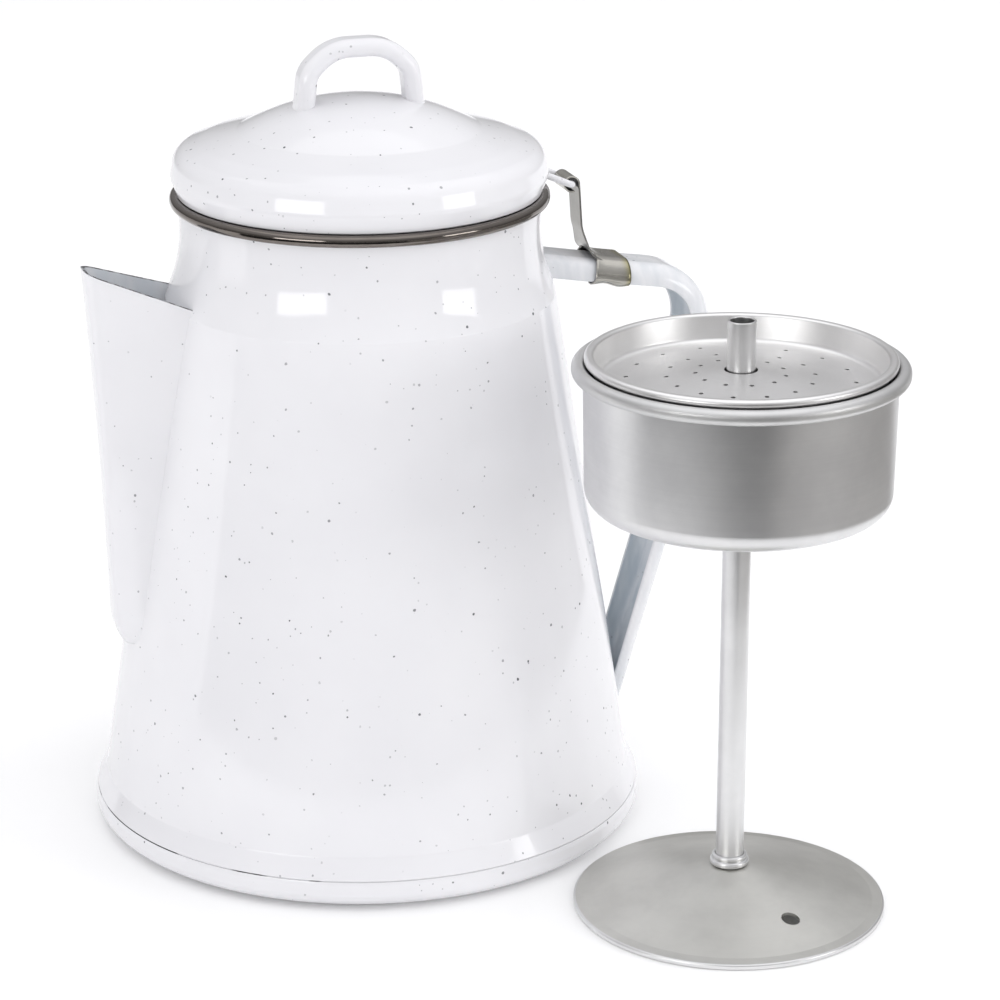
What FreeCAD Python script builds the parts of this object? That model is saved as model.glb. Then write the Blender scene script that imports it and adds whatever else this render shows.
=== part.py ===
import FreeCAD, Part
import math
import os
import Sketcher

# Camp coffee percolator: a flared enamelled steel pot with a gutter spout, a channel handle and a
# hinged lid, and beside it the loose aluminium pump with its basket and spreader.
# Millimetres. Origin: centre of the pot's underside. +X to the handle, -X to the spout, +Z up.

os.makedirs("parts", exist_ok=True)
doc = FreeCAD.newDocument("percolator")
sheet = doc.addObject("Spreadsheet::Sheet", "dims")

DIMENSIONS = [
    # pot: radii are measured to the outside of the enamelled sheet
    ("pot_wall", 1.2), ("rest_radius", 75.6), ("heel_radius", 82.9), ("bulge_height", 7.15),
    ("seam_height", 9.3), ("kink_radius", 79.5), ("kink_height", 15.6),
    ("cone_radius", 57.4), ("cone_height", 162.0), ("neck_radius", 52.5), ("neck_height", 171.8),
    ("neck_sweep", 42.0),
    ("mouth_radius", 51.8), ("rim_radius", 54.9), ("rim_height", 191.8), ("rim_depth", 2.5),
    ("band_wall", 0.4), ("band_gap", 0.12), ("seam_gap", 0.25), ("floor_radius", 66.0), ("floor_gap", 0.05),
    ("strainer_diameter", 3.5), ("strainer_pitch", 8.0), ("strainer_rows", 8.0), ("strainer_first", 100.0),
    # spout
    ("spout_wall", 1.1), ("spout_tip_reach", 82.7), ("spout_tip_height", 174.9),
    ("spout_root_height", 165.0), ("spout_foot_height", 60.0), ("spout_bevel", 8.5),
    ("spout_low", 56.0), ("spout_low_reach", 77.6), ("spout_low_half", 9.0),
    ("spout_mid", 136.0), ("spout_mid_reach", 80.2), ("spout_mid_half", 12.6),
    ("spout_high", 183.0), ("spout_high_reach", 83.2), ("spout_high_half", 16.4),
    ("spout_low_nose_half", 3.4), ("spout_mid_nose_half", 5.4), ("spout_high_nose_half", 7.0),
    ("spout_low_nose", 3.0), ("spout_mid_nose", 4.8), ("spout_high_nose", 6.4),
    # handle
    ("handle_width", 19.0), ("handle_wall", 1.1), ("handle_depth", 6.3), ("handle_reach", 107.6),
    ("handle_root_height", 169.4), ("handle_drop", 6.4), ("handle_elbow_height", 116.7),
    ("handle_foot_radius", 79.1), ("handle_foot_height", 22.5),
    # hinge
    ("hinge_reach", 63.7), ("hinge_height", 189.9), ("wire_radius", 1.0), ("wire_half", 6.3),
    ("wire_slope", 24.0), ("eye_bore", 1.95), ("clip_wall", 0.5), ("tongue_width", 9.6),
    ("saddle_start", 67.6), ("saddle_length", 13.2),
    # lid
    ("lid_wall", 1.1), ("lid_top", 219.7), ("lid_brim_radius", 55.1), ("lid_rest", 192.55),
    ("skirt_radius", 51.1), ("skirt_bottom", 186.0),
    ("grip_half_span", 17.9), ("grip_rise", 14.0), ("grip_spring", 223.0), ("grip_corner", 10.0),
    ("grip_depth", 5.4), ("grip_width", 9.0),
    # pump, standing beside the pot
    ("pump_x", 78.6), ("pump_y", -103.4), ("stem_radius", 3.97), ("stem_wall", 0.71),
    ("stem_bottom", 8.0), ("stem_top", 174.0), ("foot_radius", 44.75), ("foot_wall", 0.8),
    ("foot_crown", 11.6), ("foot_hole", 5.3), ("foot_hole_reach", 28.5), ("foot_hole_angle", -74.0),
    ("collar_radius", 5.6), ("collar_height", 3.3), ("stop_radius", 5.4), ("stop_height", 1.4),
    # basket and spreader
    ("basket_wall", 0.8), ("basket_floor", 120.5), ("basket_foot_radius", 42.7),
    ("basket_radius", 43.4), ("basket_top", 162.2), ("basket_bead", 46.6), ("bead_height", 4.2),
    ("basket_bore", 4.6), ("sleeve_radius", 5.2), ("sleeve_height", 7.0),
    ("spreader_radius", 43.1), ("spreader_top", 164.2), ("spreader_edge", 156.2),
    ("spreader_floor", 39.5), ("spreader_crown", 159.9), ("spreader_bore", 4.65),
    ("spreader_wall", 0.7), ("perforation", 1.3), ("running_gap", 0.05),
]

for row, (alias, number) in enumerate(DIMENSIONS, start=1):
    sheet.set("A%d" % row, alias)
    sheet.set("B%d" % row, str(number))
    sheet.setAlias("B%d" % row, alias)
doc.recompute()


class Size:
    """A length that carries both its value and the spreadsheet formula that drives it."""

    def __init__(self, value, formula):
        self.value = value
        self.formula = formula

    def _join(self, other, sign, value):
        return Size(value, "(%s %s %s)" % (self.formula, sign, size(other).formula))

    def __add__(self, other):
        return self._join(other, "+", self.value + size(other).value)

    def __sub__(self, other):
        return self._join(other, "-", self.value - size(other).value)

    def __mul__(self, other):
        return self._join(other, "*", self.value * size(other).value)

    def __truediv__(self, other):
        return self._join(other, "/", self.value / size(other).value)

    def __neg__(self):
        return Size(-self.value, "(0 - %s)" % self.formula)


def size(thing):
    """A Size from a spreadsheet alias, a plain number or another Size."""
    if isinstance(thing, Size):
        return thing
    if isinstance(thing, str):
        return Size(float(sheet.get(thing)), "dims.%s" % thing)
    return Size(float(thing), repr(float(thing)))


def number(alias):
    return float(sheet.get(alias))


def bind(thing, prop, length):
    thing.setExpression(prop, size(length).formula)


# ---------------------------------------------------------------- helpers for bodies and sketches

def new_body(name):
    body = doc.addObject("PartDesign::Body", name)
    body.Label = name
    return body


def plane(body, role):
    return next(f for f in body.Origin.OriginFeatures if f.Role == role)


def new_sketch(body, name, role="XZ_Plane"):
    sketch = body.newObject("Sketcher::SketchObject", name)
    sketch.AttachmentSupport = [(plane(body, role), "")]
    sketch.MapMode = "FlatFace"
    return sketch


def pin_point(sketch, geo, pos, x, y):
    """Hold one sketch point at a place given by two sizes."""
    for kind, length, axis, line in (("DistanceX", x, "x", -2), ("DistanceY", y, "y", -1)):
        if length.value == 0:
            sketch.addConstraint(Sketcher.Constraint("PointOnObject", geo, pos, line))
            continue
        name = "%s_%d_%d" % (axis, geo, pos)
        index = sketch.addConstraint(Sketcher.Constraint(kind, -1, 1, geo, pos, length.value))
        sketch.renameConstraint(index, name)
        sketch.setExpression("Constraints.%s" % name, length.formula)


def outline(sketch, corners):
    """A closed outline of straight lines. A corner is (x, y) or (x, y, radius) when it is rounded."""
    points = [(size(c[0]), size(c[1]), size(c[2]) if len(c) > 2 else None) for c in corners]
    count = len(points)
    at = [FreeCAD.Vector(p[0].value, p[1].value, 0) for p in points]
    ends = []
    for i, (_, _, radius) in enumerate(points):
        if radius is None:
            ends.append((at[i], at[i], None))
            continue
        back = (at[i - 1] - at[i]).normalize()
        ahead = (at[(i + 1) % count] - at[i]).normalize()
        half = back.getAngle(ahead) / 2
        reach = radius.value / math.tan(half)
        middle = (back + ahead).normalize()
        centre = at[i] + middle * (radius.value / math.sin(half))
        ends.append((at[i] + back * reach, at[i] + ahead * reach, centre))
    lines = []
    for i in range(count):
        lines.append(sketch.addGeometry(Part.LineSegment(ends[i][1], ends[(i + 1) % count][0]), False))
    for i, (x, y, radius) in enumerate(points):
        before, after = lines[i - 1], lines[i]
        if radius is None:
            sketch.addConstraint(Sketcher.Constraint("Coincident", before, 2, after, 1))
            pin_point(sketch, after, 1, x, y)
            continue
        arrive, leave, centre = ends[i]
        anticlockwise = (arrive - centre).cross(leave - centre).z > 0
        first, last = (1, 2) if anticlockwise else (2, 1)
        begin, finish = (arrive, leave) if anticlockwise else (leave, arrive)
        angles = [math.atan2(p.y - centre.y, p.x - centre.x) for p in (begin, finish)]
        if angles[1] < angles[0]:
            angles[1] += 2 * math.pi
        ring = Part.Circle(centre, FreeCAD.Vector(0, 0, 1), radius.value)
        arc = sketch.addGeometry(Part.ArcOfCircle(ring, angles[0], angles[1]), False)
        corner = sketch.addGeometry(Part.Point(at[i]), True)
        sketch.addConstraint([
            Sketcher.Constraint("Tangent", before, 2, arc, first),
            Sketcher.Constraint("Tangent", arc, last, after, 1),
            Sketcher.Constraint("PointOnObject", corner, 1, before),
            Sketcher.Constraint("PointOnObject", corner, 1, after),
        ])
        pin_point(sketch, corner, 1, x, y)
        name = "r_%d" % arc
        index = sketch.addConstraint(Sketcher.Constraint("Radius", arc, radius.value))
        sketch.renameConstraint(index, name)
        sketch.setExpression("Constraints.%s" % name, radius.formula)


def circle(sketch, x, y, diameter):
    x, y, diameter = size(x), size(y), size(diameter)
    middle = FreeCAD.Vector(x.value, y.value, 0)
    geo = sketch.addGeometry(Part.Circle(middle, FreeCAD.Vector(0, 0, 1), diameter.value / 2), False)
    pin_point(sketch, geo, 3, x, y)
    name = "d_%d" % geo
    index = sketch.addConstraint(Sketcher.Constraint("Diameter", geo, diameter.value))
    sketch.renameConstraint(index, name)
    sketch.setExpression("Constraints.%s" % name, diameter.formula)


def revolve(body, corners):
    """A full turn about Z of an outline given as (radius, height) corners."""
    sketch = new_sketch(body, body.Name + "_profile")
    outline(sketch, corners)
    turn = body.newObject("PartDesign::Revolution", body.Name + "_turn")
    turn.Profile = sketch
    turn.ReferenceAxis = (sketch, ["V_Axis"])
    turn.Angle = 360
    return turn


def turned_body(name, corners):
    body = new_body(name)
    revolve(body, corners)
    return body


def pad(body, name, corners, width, role="XZ_Plane"):
    """An outline made solid, half of the width on each side of its plane."""
    sketch = new_sketch(body, name + "_outline", role)
    outline(sketch, corners)
    feature = body.newObject("PartDesign::Pad", name)
    feature.Profile = sketch
    feature.SideType = "Symmetric"
    bind(feature, "Length", width)
    return feature


def pocket(body, name, corners, width, role="XZ_Plane"):
    sketch = new_sketch(body, name + "_outline", role)
    outline(sketch, corners)
    feature = body.newObject("PartDesign::Pocket", name)
    feature.Profile = sketch
    feature.SideType = "Symmetric"
    bind(feature, "Length", width)
    return feature


def place(thing, x=None, y=None, z=None):
    for axis, length in (("x", x), ("y", y), ("z", z)):
        if length is not None:
            bind(thing, ".Placement.Base.%s" % axis, length)


def cut(name, base, tool):
    """The base with the tool's space taken away."""
    feature = doc.addObject("Part::Cut", name)
    feature.Base = base
    feature.Tool = tool
    feature.Label = name
    return feature


# ---------------------------------------------------------------- the pot

WALL = size("pot_wall")


def pot_outside(grown=0):
    """The pot's outer line from the seam up to the foot of the rim bead, as (radius, height)."""
    heel, seam = size("heel_radius"), size("seam_height") + "seam_gap"
    line = [
        (heel - 0.9, seam), (size("kink_radius"), "kink_height", 2.0),
        (size("cone_radius"), "cone_height", 2.0), (size("neck_radius"), "neck_height", "neck_sweep"),
        (size("neck_radius") + 0.4, size("rim_height") - "rim_depth"),
    ]
    return [(corner[0] + grown,) + corner[1:] for corner in line]


def pot_inside():
    """The same line one wall further in, from the mouth down to the seam."""
    return list(reversed(pot_outside(-WALL)))


def cone_at(height):
    """Outer radius of the pot's straight flank at a height."""
    flare = (size("kink_radius") - "cone_radius") / (size("cone_height") - "kink_height")
    return size("cone_radius") + flare * (size("cone_height") - height)


def build_pot_body():
    """Shell with a rolled bead at the mouth and strainer holes behind the spout."""
    body = new_body("pot_body")
    bead_bottom = size("rim_height") - "rim_depth"
    corners = pot_outside() + [
        ("rim_radius", bead_bottom, 1.0),
        ("rim_radius", "rim_height", 1.1),
        ("mouth_radius", "rim_height", 1.0),
    ] + pot_inside()
    revolve(body, corners)
    doc.recompute()
    holes = new_sketch(body, "strainer_holes", "YZ_Plane")
    first, pitch = size("strainer_first"), size("strainer_pitch")
    for row in range(int(number("strainer_rows"))):
        height = first + pitch * row
        columns = (-0.5, 0.5) if row % 2 else (-1, 0, 1)
        for column in columns:
            circle(holes, size("strainer_diameter") * column * 1.7, height, "strainer_diameter")
    drill = body.newObject("PartDesign::Pocket", "strainer")
    drill.Profile = holes
    drill.Type = "Length"
    drill.Length = 90
    return body


def build_bottom_pan():
    """The pan's upturned rim; the shell stands on its ledge, leaving the seam as a groove."""
    seam, heel = size("seam_height"), size("heel_radius")
    ledge = heel - 0.9 - WALL
    return turned_body("bottom_pan", [
        ("floor_radius", 0), ("rest_radius", 0, 8.0), (heel - 2.3, 1.6, 5.0), (heel, 4.0, 3.4),
        (heel, "bulge_height", 8.8), (heel - 0.85, seam), (ledge + 0.5, seam),
        (ledge + 0.5, seam + "seam_gap"), (ledge - 0.15, seam + "seam_gap"),
        (ledge - 1.3, seam + 2.8), (ledge - 2.1, seam + 2.8), (ledge - 1.05, seam - 0.2, 1.0),
        (heel - 1.25, seam - 1.9, 1.0), (heel - 1.25, 4.4, 2.5), (heel - 3.1, 2.5, 4.0),
        (size("rest_radius") - 0.4, WALL, 7.0), ("floor_radius", WALL),
    ])


def build_pan_floor():
    """The pan's flat middle, a node of its own so that the rim's collision stays open inside."""
    edge = size("floor_radius") - "floor_gap"
    return turned_body("pan_floor", [(0, 0), (edge, 0), (edge, WALL), (0, WALL)])


def build_rim_band():
    """Half-round steel band clenched over the rim bead."""
    outer = size("rim_radius") + "band_gap" + "band_wall"
    inner = size("rim_radius") + "band_gap"
    top, bottom = size("rim_height") + "band_gap", size("rim_height") - "rim_depth" - "band_gap"
    throat = size("mouth_radius") + 1.0
    return turned_body("rim_band", [
        (throat + 0.4, bottom - "band_wall"), (outer, bottom - "band_wall", 1.6),
        (outer, top + "band_wall", 1.6), (throat, top + "band_wall"),
        (throat, top), (inner, top, 1.2), (inner, bottom, 1.2), (throat + 0.4, bottom),
    ])


def pot_envelope():
    """The pot as a filled solid, which trims what is welded to it."""
    line = pot_outside("running_gap")
    return turned_body("pot_envelope", [(0, 0), (line[0][0], 0)] + line + [(0, line[-1][1])])


# ---------------------------------------------------------------- the spout

def spout_loft(name, inset):
    """The spout's outside, or its hollow when inset by the wall: a blunt V lofted up the pot's flank."""
    body = new_body(name)
    sections = []
    for level in ("low", "mid", "high"):
        height = size("spout_" + level)
        reach = size("spout_%s_reach" % level) - inset
        half = size("spout_%s_half" % level) - size(inset) * 1.15
        nose_half = size("spout_%s_nose_half" % level) - size(inset) * 0.6
        flank = cone_at(height)
        back = flank - 8.0
        spread = (half - nose_half) / (reach - flank)
        back_half = nose_half + spread * (reach - back)
        sketch = new_sketch(body, "%s_%s" % (name, level), "XY_Plane")
        bind(sketch, ".AttachmentOffset.Base.z", height)
        nose = size("spout_%s_nose" % level) - size(inset) * 0.8
        outline(sketch, [(-back, back_half), (-reach, nose_half, nose),
                         (-reach, -nose_half, nose), (-back, -back_half)])
        sections.append(sketch)
    loft = body.newObject("PartDesign::AdditiveLoft", name + "_loft")
    loft.Profile = sections[0]
    loft.Sections = sections[1:]
    doc.recompute()
    bevel_low = size("spout_foot_height") + size(inset) * 0.6
    bevel_back = cone_at("spout_foot_height") - size(inset) * 0.8 - 4.0
    pocket(body, name + "_bevel", [
        (-bevel_back, bevel_low - 5.33), (-bevel_back - 22.0, bevel_low + 24.0),
        (-bevel_back - 22.0, bevel_low - 12.0), (-bevel_back, bevel_low - 12.0),
    ], 60)
    return body


def build_spout(envelope):
    """Bent sheet gutter: outside less hollow, mouth sheared to a slope, back trimmed to the pot."""
    outside = spout_loft("spout_outside", 0)
    rise = (size("spout_tip_height") - "spout_root_height") / (size("spout_tip_reach") - 56.0)
    inner, outer = size(44.0), size(92.0)
    pocket(outside, "spout_mouth", [
        (-inner, size("spout_root_height") + rise * (inner - 56.0)),
        (-outer, size("spout_root_height") + rise * (outer - 56.0)),
        (-outer, size("spout_high") + 10.0), (-inner, size("spout_high") + 10.0),
    ], 60)
    sheet_metal = cut("spout_sheet", outside, spout_loft("spout_hollow", size("spout_wall")))
    return cut("spout", sheet_metal, envelope)


# ---------------------------------------------------------------- the handle

def handle_lines(inset):
    """The handle's outer line from the pot's shoulder round to its heel, moved inwards by an inset."""
    inset = size(inset)
    root, reach = size("handle_root_height"), size("handle_reach")
    slope = size("handle_drop") / 38.0
    return [
        (size(48.0), root + slope * 9.0 - inset),
        (size(67.4), root - slope * 12.0 - inset, 30.0),
        (reach - inset, root - "handle_drop" - 1.9 - inset, size(20.0) - inset * 0.8),
        (reach - inset, size("handle_elbow_height") + inset * 0.15, size(14.0) - inset * 0.9),
        (size("handle_foot_radius") - 1.9 - inset * 0.7, size("handle_foot_height") - 6.2),
    ]


def build_handle(envelope):
    """Pressed channel, open to the pot, its two ends trimmed to the pot's side."""
    body = new_body("handle_channel")
    outer = handle_lines(0)
    inner = handle_lines("handle_depth")
    pad(body, "handle_blank", outer + list(reversed(inner)), "handle_width")
    doc.recompute()
    half = number("handle_width") / 2
    blank = doc.getObject("handle_blank")
    names = []
    for index, edge in enumerate(blank.Shape.Edges, start=1):
        box = edge.BoundBox
        flat = box.YLength < 1e-6 and abs(abs(box.YMin) - half) < 1e-6
        if flat and outside_of(edge, inner):
            names.append("Edge%d" % index)
    rounding = body.newObject("PartDesign::Fillet", "handle_rounding")
    rounding.Base = (blank, names)
    rounding.Radius = 2.0
    doc.recompute()
    hollow = handle_lines("handle_wall")
    beyond = handle_lines(size("handle_depth") + 8.0)
    pocket(body, "handle_hollow", hollow + list(reversed(beyond)), size("handle_width") - size("handle_wall") * 2)
    return cut("handle", body, envelope)


def outside_of(edge, line):
    """Whether an edge keeps clear of an inner line of the outline, so belongs to the outer one."""
    middle = edge.valueAt((edge.FirstParameter + edge.LastParameter) / 2)
    points = [FreeCAD.Vector(corner[0].value, middle.y, corner[1].value) for corner in line]
    nearest = min(Part.LineSegment(a, b).toShape().distToShape(Part.Vertex(middle))[0]
                  for a, b in zip(points, points[1:]))
    start, end = edge.Vertexes[0].Point, edge.Vertexes[-1].Point
    shortcut = abs((end - start).x) < 12 and (end - start).Length < 9
    return nearest > 3.2 and not shortcut


# ---------------------------------------------------------------- the hinge clip

def arm_top(x, lift):
    """Height of the handle arm's top face at a reach, plus a lift."""
    return size("handle_root_height") - size("handle_drop") / 38.0 * (size(x) - 57.0) + 0.15 + lift


def build_hinge_clip():
    """Sprung saddle wrapped round the arm, its tongue turned up and curled round the hinge wire."""
    body = new_body("hinge_clip")
    wall, gap = size("clip_wall"), size("running_gap")
    start, end = size("saddle_start"), size("saddle_start") + "saddle_length"
    deep = size("handle_depth") + 0.35
    lift = gap + wall
    pad(body, "saddle", [
        (start, arm_top(start, lift), 0.6), (end, arm_top(end, lift)),
        (end, arm_top(end, 0) - deep - lift), (start + 1.2, arm_top(start, 0) - deep - lift, 0.8),
    ], size("handle_width") + lift * 2)
    eye_outer = size("eye_bore") + wall
    reach, height = size("hinge_reach"), size("hinge_height")
    pad(body, "tongue", [
        (reach + eye_outer, height), (reach + eye_outer, size("handle_root_height") + 5.5, 5.0),
        (start + 4.4, arm_top(start + 4.4, gap + 0.45)), (start + 4.4, arm_top(start + 4.4, gap)),
        (start + 2.4, arm_top(start + 2.4, gap)),
        (reach + "eye_bore", size("handle_root_height") + 5.2, 5.5), (reach + "eye_bore", height),
    ], "tongue_width")
    curl = new_sketch(body, "curl_ring")
    circle(curl, reach, height, eye_outer * 2)
    circle(curl, reach, height, size("eye_bore") * 2)
    ring = body.newObject("PartDesign::Pad", "curl")
    ring.Profile = curl
    ring.SideType = "Symmetric"
    bind(ring, "Length", "tongue_width")
    doc.recompute()
    pocket(body, "curl_gap", [
        (reach + 0.25, height - 0.9), (reach + 1.85, height - 0.9),
        (reach + 1.85, height - 3.4), (reach + 0.25, height - 3.4),
    ], size("tongue_width") + 2.0)
    pocket(body, "saddle_hollow", [
        (start - 3.0, arm_top(start - 3.0, gap)), (end + 3.0, arm_top(end + 3.0, gap)),
        (end + 3.0, arm_top(end + 3.0, 0) - deep - gap), (start - 3.0, arm_top(start - 3.0, 0) - deep - gap),
    ], size("handle_width") + gap * 2)
    pocket(body, "saddle_throat", [
        (start - 3.0, arm_top(start - 3.0, -3.0)), (end + 3.0, arm_top(end + 3.0, -3.0)),
        (end + 3.0, arm_top(end + 3.0, 0) - deep - 6.0), (start - 3.0, arm_top(start - 3.0, 0) - deep - 6.0),
    ], size("handle_width") - 6.0)
    return body


# ---------------------------------------------------------------- the lid

def lid_outside():
    """The lid's outer line from the crown down to the edge that sits over the band."""
    brim, rest, top = size("lid_brim_radius"), size("lid_rest"), size("lid_top")
    return [
        (size(0), top), (size(16.5), top, 70.0), (size(35.5), top - 9.2, 5.0),
        (size(46.0), top - 12.2, 25.0), (brim - 1.2, rest + 12.0, 5.5), (brim, rest + 5.0, 3.5),
        (brim - 1.8, rest),
    ]


def build_lid_shell():
    brim, rest, top = size("lid_brim_radius"), size("lid_rest"), size("lid_top")
    wall, skirt, foot = size("lid_wall"), size("skirt_radius"), size("skirt_bottom")
    return turned_body("lid_shell", lid_outside() + [
        (skirt, rest), (skirt - 0.5, foot), (skirt - 1.6, foot), (skirt - 1.1, rest + 1.1),
        (brim - 2.1, rest + 1.1), (brim - wall - 0.1, rest + 5.0, 2.5),
        (brim - 2.4, rest + 11.1, 4.4), (size(45.7), top - 13.4, 25.0), (size(35.2), top - 10.4, 6.0),
        (size(16.4), top - 1.15, 69.0), (size(0), top - 1.15),
    ])


def lid_envelope():
    line = lid_outside()
    low = size("lid_rest") - 4.0
    return turned_body("lid_envelope", line + [(line[-1][0], low), (size(0), low)])


def build_lid_grip(envelope):
    """Flat strap bent to an arch, its feet trimmed to the lid."""
    body = new_body("grip_arch")
    span, spring, rise = size("grip_half_span"), size("grip_spring"), size("grip_rise")
    deep, foot = size("grip_depth"), size("lid_top") - 8.0
    crown = spring + rise

    def arch(inset):
        side, height = span - inset, crown - inset
        return [
            (-side - 1.8, foot), (-side, height - 8.2 + inset * 0.586, size("grip_corner") - inset),
            (-side + 8.6 - inset * 0.586, height, size(16.0) - inset),
            (side - 8.6 + inset * 0.586, height, size(16.0) - inset),
            (side, height - 8.2 + inset * 0.586, size("grip_corner") - inset), (side + 1.8, foot),
        ]

    pad(body, "arch", arch(size(0)) + list(reversed(arch(deep))), "grip_width")
    doc.recompute()
    blank = doc.getObject("arch")
    half = number("grip_width") / 2
    names = []
    for index, edge in enumerate(blank.Shape.Edges, start=1):
        box = edge.BoundBox
        if box.YLength < 1e-6 and abs(abs(box.YMin) - half) < 1e-6 and box.ZMax > foot.value + 0.1:
            names.append("Edge%d" % index)
    rounding = body.newObject("PartDesign::Fillet", "arch_rounding")
    rounding.Base = (blank, names)
    rounding.Radius = 2.3
    return cut("lid_grip", body, envelope)


def build_lid_hinge_wire(envelope):
    """Bent wire: two legs from the brim and a crossbar through the clip's eye."""
    reach, height = size("hinge_reach"), size("hinge_height")
    half, radius, slope = size("wire_half"), size("wire_radius"), size("wire_slope")
    pieces = []
    bar = doc.addObject("Part::Cylinder", "wire_bar")
    bind(bar, "Radius", radius)
    bind(bar, "Height", half * 2)
    bar.Placement = FreeCAD.Placement(FreeCAD.Vector(), FreeCAD.Rotation(FreeCAD.Vector(1, 0, 0), -90))
    place(bar, reach, -half, height)
    pieces.append(bar)
    for side, sign in (("left", -1), ("right", 1)):
        knee = doc.addObject("Part::Sphere", "wire_knee_" + side)
        bind(knee, "Radius", radius)
        place(knee, reach, half * sign, height)
        leg = doc.addObject("Part::Cylinder", "wire_leg_" + side)
        bind(leg, "Radius", radius)
        bind(leg, "Height", 11.5)
        leg.Placement = FreeCAD.Placement(
            FreeCAD.Vector(), FreeCAD.Rotation(FreeCAD.Vector(0, 1, 0), slope.value - 90))
        place(leg, reach, half * sign, height)
        pieces += [knee, leg]
    wire = doc.addObject("Part::MultiFuse", "wire_whole")
    wire.Shapes = pieces
    return cut("lid_hinge_wire", wire, envelope)


# ---------------------------------------------------------------- the pump, basket and spreader

def ring_of_holes(body, name, reach, count, angle=0.0):
    """Holes through the whole height of a body, spread evenly round Z."""
    sketch = new_sketch(body, name + "_first", "XY_Plane")
    turn = math.radians(angle)
    circle(sketch, size(reach) * math.cos(turn), size(reach) * math.sin(turn), "perforation")
    drill = body.newObject("PartDesign::Pocket", name)
    drill.Profile = sketch
    drill.SideType = "Symmetric"
    drill.Type = "Length"
    drill.Length = 400
    pattern = body.newObject("PartDesign::PolarPattern", name + "_ring")
    pattern.Originals = [drill]
    pattern.Axis = (sketch, ["N_Axis"])
    pattern.Angle = 360
    pattern.Occurrences = count
    body.Tip = pattern
    doc.recompute()
    return pattern


def build_pump():
    """Stem tube, coned foot with its inlet hole, retaining collar and basket stop."""
    stem, wall = size("stem_radius"), size("stem_wall")
    bottom, top, gap = size("stem_bottom"), size("stem_top"), size("running_gap")
    tube = turned_body("pump_stem", [
        (stem - wall, bottom), (stem, bottom), (stem, top, 0.3), (stem - wall, top, 0.3)])
    rim, crown, sheet_wall = size("foot_radius"), size("foot_crown"), size("foot_wall")
    foot = turned_body("pump_foot", [
        (stem + gap, crown + 0.3), (size(6.5), crown, 2.0), (rim - 3.5, size(1.9), 1.5),
        (rim, size(1.45), 0.6), (rim, size(0)), (rim - sheet_wall, size(0)),
        (rim - sheet_wall, size(0.75)), (rim - 3.65, size(1.1), 1.0), (size(6.4), crown - sheet_wall, 2.0),
        (stem + gap, crown - 0.5),
    ])
    doc.recompute()
    inlet = new_sketch(foot, "inlet_hole", "XY_Plane")
    turn = math.radians(number("foot_hole_angle"))
    circle(inlet, size("foot_hole_reach") * math.cos(turn), size("foot_hole_reach") * math.sin(turn), "foot_hole")
    drill = foot.newObject("PartDesign::Pocket", "inlet")
    drill.Profile = inlet
    drill.SideType = "Symmetric"
    drill.Length = 60
    foot.Tip = drill
    base, outer = crown + 0.35, size("collar_radius")
    collar = turned_body("stem_collar", [
        (stem + gap, base), (outer, base, 0.5), (outer, base + size("collar_height") * 0.55, 0.5),
        (outer - 0.45, base + size("collar_height") * 0.55), (outer - 0.45, base + "collar_height", 0.6),
        (stem + gap, base + "collar_height"),
    ])
    seat = size("basket_floor") - gap
    stop = turned_body("basket_stop", [
        (stem + gap, seat - "stop_height"), (size("stop_radius"), seat - "stop_height", 0.4),
        (size("stop_radius"), seat, 0.4), (stem + gap, seat),
    ])
    return [tube, foot, collar, stop]


def build_basket():
    """Drawn cup with an outward curled rim, a centre sleeve and perforated floor."""
    wall, floor, top = size("basket_wall"), size("basket_floor"), size("basket_top")
    side, bead, deep = size("basket_radius"), size("basket_bead"), size("bead_height")
    bore, sleeve = size("basket_bore"), size("sleeve_radius")
    body = turned_body("basket", [
        (bore, floor), (size("basket_foot_radius"), floor, 6.0), (side, top - 1.6),
        (bead - wall, top - wall, 1.0), (bead - wall, top - deep + wall, 0.9),
        (side + 1.1, top - deep + wall), (side + 1.1, top - deep), (bead, top - deep, 1.6),
        (bead, top, 1.7), (side - wall, top, 1.6), (size("basket_foot_radius") - wall, floor + wall, 5.2),
        (sleeve, floor + wall), (sleeve, floor + "sleeve_height"), (bore, floor + "sleeve_height"),
    ])
    doc.recompute()
    for index, (reach, count) in enumerate(((11.0, 10), (18.5, 16), (26.0, 22), (33.5, 28))):
        ring_of_holes(body, "floor_%d" % index, reach, count, 9.0 * index)
    return body


def build_spreader():
    """Dished, perforated plate that closes the basket and spreads the water."""
    top, crown, edge = size("spreader_top"), size("spreader_crown"), size("spreader_edge")
    rim, floor, wall, bore = (size(a) for a in (
        "spreader_radius", "spreader_floor", "spreader_wall", "spreader_bore"))
    body = turned_body("spreader", [
        (bore, crown), (floor - 0.2, edge, 1.3), (rim - 2.6, top, 0.9), (rim, top, 1.15),
        (rim, top - 2.4, 1.0), (rim - 2.0, top - 2.4), (floor + 0.5, edge - 0.75, 1.7), (bore, crown - wall),
    ])
    doc.recompute()
    for index, (reach, count) in enumerate(((12.5, 11), (20.5, 14), (31.5, 16))):
        ring_of_holes(body, "spray_%d" % index, reach, count, 11.0 * index)
    return body


# ---------------------------------------------------------------- build, check and write out

filled_pot = pot_envelope()
filled_lid = lid_envelope()
pot_parts = [build_pot_body(), build_bottom_pan(), build_pan_floor(), build_rim_band(), build_spout(filled_pot),
             build_handle(filled_pot), build_hinge_clip()]
lid_parts = [build_lid_shell(), build_lid_grip(filled_lid), build_lid_hinge_wire(filled_lid)]
insert_parts = build_pump() + [build_basket(), build_spreader()]
for piece in insert_parts:
    place(piece, "pump_x", "pump_y")
doc.recompute()

for item in doc.Objects:
    if "Invalid" in item.State or "Error" in item.State:
        raise RuntimeError("%s did not compute: %s" % (item.Name, item.State))

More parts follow.
